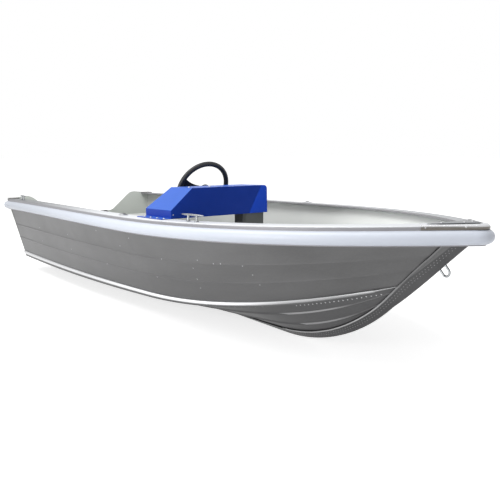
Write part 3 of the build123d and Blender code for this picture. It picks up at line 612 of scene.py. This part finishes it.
# Transom: a raked plate, painted inside and bare outside, with a board on each face for the motor's clamps.
# Four bolts go through plate and boards, and cast caps close the corners to the gunwales.
pad_bolt_y = 0.165
pad_bolt_heights = (0.11, 0.25)
pad_edge = 0.003
corner_edge = 0.0015
facing_aft = -0.5
transom_paint = finish("transom_paint", dark=(0.66, 0.70, 0.655), light=(0.73, 0.76, 0.715), clouds=3,
                       grain=300, rough=(0.4, 0.55))
board = finish("motor_board", dark=(0.02, 0.02, 0.022), light=(0.04, 0.04, 0.043), clouds=9, grain=240,
               rough=(0.5, 0.65), relief=0.0005)
cap_cast = finish("stern_casting", dark=(0.17, 0.17, 0.165), light=(0.24, 0.24, 0.235), clouds=12,
                  grain=380, rough=(0.42, 0.55), relief=0.0004, metallic=0.6)
transom = cad_copy("transom", transom_paint, plate_metal)
paint_faces(transom, 1, lambda normal, centre: normal.x < facing_aft)
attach(transom, "boat")
for node, start, towards in (("motor_pad_outer", cad_low.x - well_clear, 1), ("motor_pad_inner", 0, -1)):
    pad = cad_copy(node, board)
    soften(pad, pad_edge, segments=3)
    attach(pad, "boat")
    pad_surface = surface_of(node)
    spots = [spot_on(pad_surface, (start, y, z), (towards, 0, 0))
             for y in (-pad_bolt_y, pad_bolt_y) for z in pad_bolt_heights]
    stand_on(bolt, spots, f"{node}_bolts", rivet_metal)
for side in sides:
    corner = cad_copy(f"stern_cap_{side}", cap_cast)
    soften(corner, corner_edge)
    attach(corner, "boat")

# Floor and benches: painted sheet, the floor with a gritty non-slip coat.
# The benches are folded boxes that are riveted to the side plates.
grit = finish("floor_grit", dark=(0.36, 0.38, 0.37), light=(0.43, 0.45, 0.44), clouds=5, grain=700,
              rough=(0.7, 0.9), relief=0.0015)
deck = cad_copy("floor", grit)
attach(deck, "boat")
bench_paint = finish("bench_paint", dark=(0.60, 0.62, 0.60), light=(0.68, 0.70, 0.68), clouds=3,
                     grain=320, rough=(0.42, 0.55))
for node in ("aft_bench", "helm_bench", "bow_bench"):
    bench = cad_copy(node, bench_paint)
    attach(bench, "boat")

# Console: a folded sheet shell in blue gloss coat, bolted by its flange to the starboard gunwale and
# carried at its inboard end by a post. The shell's faces that don't look up take a deeper blue as painted
# shade, and the post is painted dark as the shade under the console.
flange_bolt_start = 0.425
flange_bolt_pitch = 0.068
flange_bolt_count = 4
flange_bolt_y = -0.652
top_screws = ((0.543, -0.450), (0.561, -0.335))
face_bolt = (-0.605, 0.538)
shell_edge = 0.0012
post_edge = 0.003
# The deeper blue on faces that don't look up is painted shade.
console_blue = finish("console_blue", dark=(0.036, 0.125, 0.54), light=(0.044, 0.140, 0.60), clouds=5,
                      grain=520, rough=(0.32, 0.42), relief=0.00012, specular=0.14,
                      painted_shade_flank=(0.004, 0.040, 0.35))
# The post's dark colour is painted shade under the console.
post_shade_paint = finish("post_shade_paint", dark=(0.055, 0.060, 0.058), light=(0.085, 0.090, 0.088), clouds=6,
                    grain=300, rough=(0.45, 0.6))
shell = cad_copy("console_shell", console_blue)
soften(shell, shell_edge)
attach(shell, "boat")
post = cad_copy("console_pedestal", post_shade_paint)
soften(post, post_edge, segments=3)
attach(post, "boat")
shell_surface = surface_of("console_shell")
spots = [spot_below(shell_surface, flange_bolt_start + number * flange_bolt_pitch, flange_bolt_y)
         for number in range(flange_bolt_count)]
spots += [spot_below(shell_surface, x, y) for x, y in top_screws]
stand_on(bolt, spots, "console_bolts", rivet_metal)
face_spot = spot_on(shell_surface, (well_clear, *face_bolt), (-1, 0, 0))
stand_on(rivet_head, [face_spot], "console_face_bolt", rivet_metal)

# Helm: a grey moulded bezel on the dash with the steering gear behind it.
# The bezel is a shallow dome that is screwed over the hole in the dash.
bezel_edge = 0.006
bezel_grey = finish("bezel_grey", dark=(0.16, 0.17, 0.185), light=(0.22, 0.23, 0.245), clouds=12,
                    grain=500, rough=(0.35, 0.5), relief=0.0002)
bezel = cad_copy("helm_bezel", bezel_grey)
soften(bezel, bezel_edge, segments=4)
gear = cad_copy("helm_gear", bezel_grey)
for piece in (bezel, gear):
    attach(piece, "boat")

# Steering wheel: black moulding with a round rim, three flared spokes and a dished hub on a short shaft.
# It is laid out flat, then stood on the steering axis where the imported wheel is.
rim_radius = 0.156
rim_thickness = 0.014
wheel_dish = 0.022
wheel_standoff = 0.0823
hub_radius = 0.036
hub_height = 0.024
hub_edge = 0.005
hub_cap_radius = 0.025
hub_cap_rise = 0.007
hub_cap_edge = 0.0035
shaft_radius = 0.010
shaft_length = 0.036
spoke_bearings = (16, 196, 286)
spoke_thickness = 0.009
spoke_edge = 0.003
spoke_stations = 8
spoke_half_widths = (0.030, 0.024, 0.0185, 0.016, 0.0155, 0.017, 0.021, 0.028, 0.036)
wheel_black = finish("wheel_black", dark=(0.006, 0.007, 0.008), light=(0.013, 0.014, 0.016), clouds=14,
                     grain=600, rough=(0.38, 0.52), relief=0.0004)
bpy.ops.object.select_all(action="DESELECT")
bpy.ops.mesh.primitive_torus_add(major_radius=rim_radius, minor_radius=rim_thickness, major_segments=96,
                                 minor_segments=20)
rim = bpy.context.active_object
bpy.ops.mesh.primitive_cylinder_add(vertices=48, radius=hub_radius, depth=hub_height,
                                    location=(0, 0, -wheel_dish))
hub = bpy.context.active_object
bevel_all(hub_edge, segments=4)
bpy.ops.mesh.primitive_cylinder_add(vertices=40, radius=hub_cap_radius, depth=hub_cap_rise * 2,
                                    location=(0, 0, hub_height / 2 - wheel_dish))
hub_cap = bpy.context.active_object
bevel_all(hub_cap_edge, segments=3)
bpy.ops.mesh.primitive_cylinder_add(vertices=32, radius=shaft_radius, depth=shaft_length,
                                    location=(0, 0, -wheel_dish - shaft_length / 2))
shaft = bpy.context.active_object
spoke_length = math.hypot(rim_radius, wheel_dish)
bpy.ops.object.select_all(action="DESELECT")
bpy.ops.mesh.primitive_cube_add(size=2, location=(spoke_length / 2, 0, 0))
spoke_model = bpy.context.active_object
spoke_model.scale = (spoke_length / 2, 1, spoke_thickness / 2)
bpy.ops.object.transform_apply(location=True, rotation=True, scale=True)
bpy.ops.object.mode_set(mode="EDIT")
for station in range(1, spoke_stations):
    bpy.ops.mesh.select_all(action="SELECT")
    bpy.ops.mesh.bisect(plane_co=(spoke_length * station / spoke_stations, 0, 0), plane_no=(1, 0, 0))
bpy.ops.object.mode_set(mode="OBJECT")
for point in spoke_model.data.vertices:
    point.co.y *= spoke_half_widths[round(point.co.x / spoke_length * spoke_stations)]
bevel = spoke_model.modifiers.new("round_edges", "BEVEL")
bevel.width = spoke_edge
bevel.segments = 3
bevel.limit_method = "ANGLE"
bpy.ops.object.modifier_apply(modifier=bevel.name)
wheel_pieces = [rim, hub, hub_cap, shaft]
for bearing in spoke_bearings:
    spoke = copy_of(spoke_model, "spoke")
    spoke.rotation_euler = (0, -math.atan2(wheel_dish, rim_radius), math.radians(bearing))
    spoke.location = (0, 0, -wheel_dish)
    wheel_pieces.append(spoke)
wheel = join_pieces("steering_wheel_moulding", wheel_pieces)
steering = frame["joints"][0]
wheel_axis = Vector(steering["axis"])
across = Vector((0, -1, 0))
wheel_up = wheel_axis.cross(across)
wheel_turn = Matrix((across, wheel_up, wheel_axis)).transposed().to_4x4()
wheel_centre = Vector(steering["pos_m"]) + wheel_axis * wheel_standoff
wheel.data.transform(Matrix.Translation(wheel_centre) @ wheel_turn)
give_material(wheel, wheel_black)
select_only(wheel)
bpy.ops.object.shade_smooth_by_angle(angle=round_limit)
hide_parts("steering_wheel")
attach(wheel, "wheel")

# Horn cleats: small castings with a tapered bar on two legs, screwed through round pads to the gunwale.
# One is modelled along the boat and turned to the sheer at each place.
cleat_half = 0.075
cleat_bar_rise = 0.0305
cleat_bar_half = (0.0068, 0.0055)
cleat_leg_reach = 0.028
cleat_leg_radii = (0.0072, 0.0048)
cleat_pad_radius = 0.011
cleat_pad_sheet = 0.004
cleat_pad_edge = cleat_pad_sheet / 4
end_reach = 0.012
fitting_metal = finish("fitting_metal", dark=(0.24, 0.25, 0.26), light=(0.36, 0.37, 0.38), clouds=20,
                       grain=400, rough=(0.2, 0.34), metallic=1.0)
bpy.ops.object.select_all(action="DESELECT")
bpy.ops.mesh.primitive_uv_sphere_add(segments=32, ring_count=16, radius=1, location=(0, 0, cleat_bar_rise),
                                     rotation=(0, math.radians(90), 0))
bar = bpy.context.active_object
bar.scale = (cleat_bar_half[1], cleat_bar_half[0], cleat_half)
cleat_pieces = [bar]
for reach in (-cleat_leg_reach, cleat_leg_reach):
    bpy.ops.mesh.primitive_cone_add(vertices=20, radius1=cleat_leg_radii[0], radius2=cleat_leg_radii[1],
                                    depth=cleat_bar_rise, location=(reach, 0, cleat_bar_rise / 2))
    cleat_pieces.append(bpy.context.active_object)
    bpy.ops.mesh.primitive_cylinder_add(vertices=28, radius=cleat_pad_radius, depth=cleat_pad_sheet,
                                        location=(reach, 0, cleat_pad_sheet / 2))
    bevel_all(cleat_pad_edge, segments=2)
    cleat_pieces.append(bpy.context.active_object)
cleat_model = join_pieces("cleat_model", cleat_pieces)
for node in ("bow_cleat_starboard", "stern_cleat_starboard"):
    low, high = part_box(node)
    points = [point.co for point in frame["nodes"][node].data.vertices]
    aft_end = [point for point in points if point.x < low.x + end_reach]
    fore_end = [point for point in points if point.x > high.x - end_reach]
    run = sum(fore_end, Vector()) / len(fore_end) - sum(aft_end, Vector()) / len(aft_end)
    cleat = copy_of(cleat_model, f"{node}_casting")
    middle = Vector(((low.x + high.x) / 2, (low.y + high.y) / 2, low.z))
    heading = Matrix.Rotation(math.atan2(run.y, run.x), 4, "Z")
    tilt = Matrix.Rotation(-math.atan2(run.z, math.hypot(run.x, run.y)), 4, "Y")
    cleat.data.transform(Matrix.Translation(middle) @ heading @ tilt)
    give_material(cleat, fitting_metal)
    select_only(cleat)
    bpy.ops.object.shade_smooth_by_angle(angle=round_limit)
    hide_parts(node)
    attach(cleat, "boat")

# Bow eye and rowlock sockets: a loop of bent rod through the stem band, and cast sockets on the gunwales
# amidships, each with a black bush in its bore.
socket_rim = 0.002
socket_bore = 0.0075
socket_edge = 0.0012
socket_cast = finish("socket_cast", dark=(0.62, 0.635, 0.65), light=(0.72, 0.735, 0.75), clouds=20,
                     grain=400, rough=(0.35, 0.5), metallic=0.3)
socket_black = finish("socket_black", dark=(0.010, 0.010, 0.011), light=(0.022, 0.022, 0.023), clouds=20,
                      grain=500, rough=(0.4, 0.55))
eye = cad_copy("bow_eye", fitting_metal)
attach(eye, "boat")
for side in sides:
    socket = cad_copy(f"rowlock_socket_{side}", socket_cast, socket_black)
    soften(socket, socket_edge)
    low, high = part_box(f"rowlock_socket_{side}")
    middle = (low + high) / 2
    paint_faces(socket, 1, lambda normal, centre: centre.z > high.z - socket_rim
                or math.hypot(centre.x - middle.x, centre.y - middle.y) < socket_bore)
    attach(socket, "boat")

# The models that rivets, bolts, spokes and cleats were copied from are not part of the boat.
for model in (rivet_head, band_rivet, bolt, spoke_model, cleat_model):
    bpy.data.objects.remove(model)

# Stage: a pale floor just under the keel and a white surround, both lifted to white only where they are seen.
# A large soft lamp hangs overhead, a weak one stands low at starboard, and a small one over the bow lights
# the port wall inside.
floor_size = 120
floor_gap = 0.002
ground_shade = (0.82, 0.82, 0.82, 1)
ground_roughness = 0.9
ground_lift = 0.7
white = (1, 1, 1, 1)
sky_light = 0.42
sky_shown = 1.0


def seen_directly(tree):
    """One for the rays of the camera and of reflections, and nought for those that carry the light."""
    ray_kind = tree.nodes.new("ShaderNodeLightPath")
    seen = tree.nodes.new("ShaderNodeMath")
    seen.operation = "MAXIMUM"
    tree.links.new(ray_kind.outputs["Is Camera Ray"], seen.inputs[0])
    tree.links.new(ray_kind.outputs["Is Glossy Ray"], seen.inputs[1])
    return seen.outputs["Value"]


bpy.ops.mesh.primitive_plane_add(size=floor_size, location=(0, 0, cad_low.z - floor_gap))
ground = bpy.context.active_object
ground.name = "ground"
pale = bpy.data.materials.new("pale_ground")
pale.use_nodes = True
pale_tree = pale.node_tree
pale_shader = pale_tree.nodes["Principled BSDF"]
pale_shader.inputs["Base Color"].default_value = ground_shade
pale_shader.inputs["Roughness"].default_value = ground_roughness
lift = pale_tree.nodes.new("ShaderNodeMath")
lift.operation = "MULTIPLY"
lift.inputs[1].default_value = ground_lift
pale_tree.links.new(seen_directly(pale_tree), lift.inputs[0])
pale_shader.inputs["Emission Color"].default_value = white
pale_tree.links.new(lift.outputs["Value"], pale_shader.inputs["Emission Strength"])
ground.data.materials.append(pale)

world = bpy.data.worlds.new("white_surround")
bpy.context.scene.world = world
world.use_nodes = True
sky = world.node_tree
backdrop = sky.nodes["Background"]
backdrop.inputs["Color"].default_value = white
sky_level = sky.nodes.new("ShaderNodeMapRange")
sky_level.inputs["To Min"].default_value = sky_light
sky_level.inputs["To Max"].default_value = sky_shown
sky.links.new(seen_directly(sky), sky_level.inputs["Value"])
sky.links.new(sky_level.outputs["Result"], backdrop.inputs["Strength"])


def soft_lamp(name, place, target, size, power):
    """A square area lamp that looks at a target and isn't itself in the picture."""
    lamp = bpy.data.lights.new(name, "AREA")
    lamp.size = size
    lamp.energy = power
    holder = bpy.data.objects.new(name, lamp)
    bpy.context.scene.collection.objects.link(holder)
    holder.location = place
    holder.rotation_euler = (Vector(target) - Vector(place)).to_track_quat("-Z", "Y").to_euler()
    holder.visible_camera = False


soft_lamp("main_lamp", place=(-0.8, -2.4, 6.4), target=(0, 0, 0.3), size=5.0, power=335)
soft_lamp("side_lamp", place=(1.0, -4.5, 1.15), target=(1.0, 0.7, 0.42), size=2.0, power=65)
soft_lamp("inside_lamp", place=(0.8, 0.0, 0.85), target=(1.05, 0.7, 0.45), size=0.8, power=3.0)

# Camera: solved from the photograph's 500 by 500 frame with the hull's lines as the reference.
# Its focal length is in pixels of that frame, and its place in metres from the boat's origin.
camera_place = (3.33314, -2.16138, 0.86354)
photo_width = 500
focal_pixels = 622.41
sensor = 36.0
yaw = math.radians(37.081)
pitch = math.radians(9.223)
roll = math.radians(0.092)
ahead = Vector((-math.cos(yaw) * math.cos(pitch), math.sin(yaw) * math.cos(pitch), -math.sin(pitch)))
level_right = ahead.cross(Vector((0, 0, 1))).normalized()
level_up = level_right.cross(ahead)
right = level_right * math.cos(roll) + level_up * math.sin(roll)
up = level_up * math.cos(roll) - level_right * math.sin(roll)
camera_data = bpy.data.cameras.new("camera")
camera_data.sensor_width = sensor
camera_data.lens = sensor * focal_pixels / photo_width
camera = bpy.data.objects.new("camera", camera_data)
bpy.context.scene.collection.objects.link(camera)
turn = Matrix((right, up, -ahead)).transposed().to_4x4()
camera.matrix_world = Matrix.Translation(camera_place) @ turn
bpy.context.scene.camera = camera
bpy.context.scene.view_settings.view_transform = "Standard"
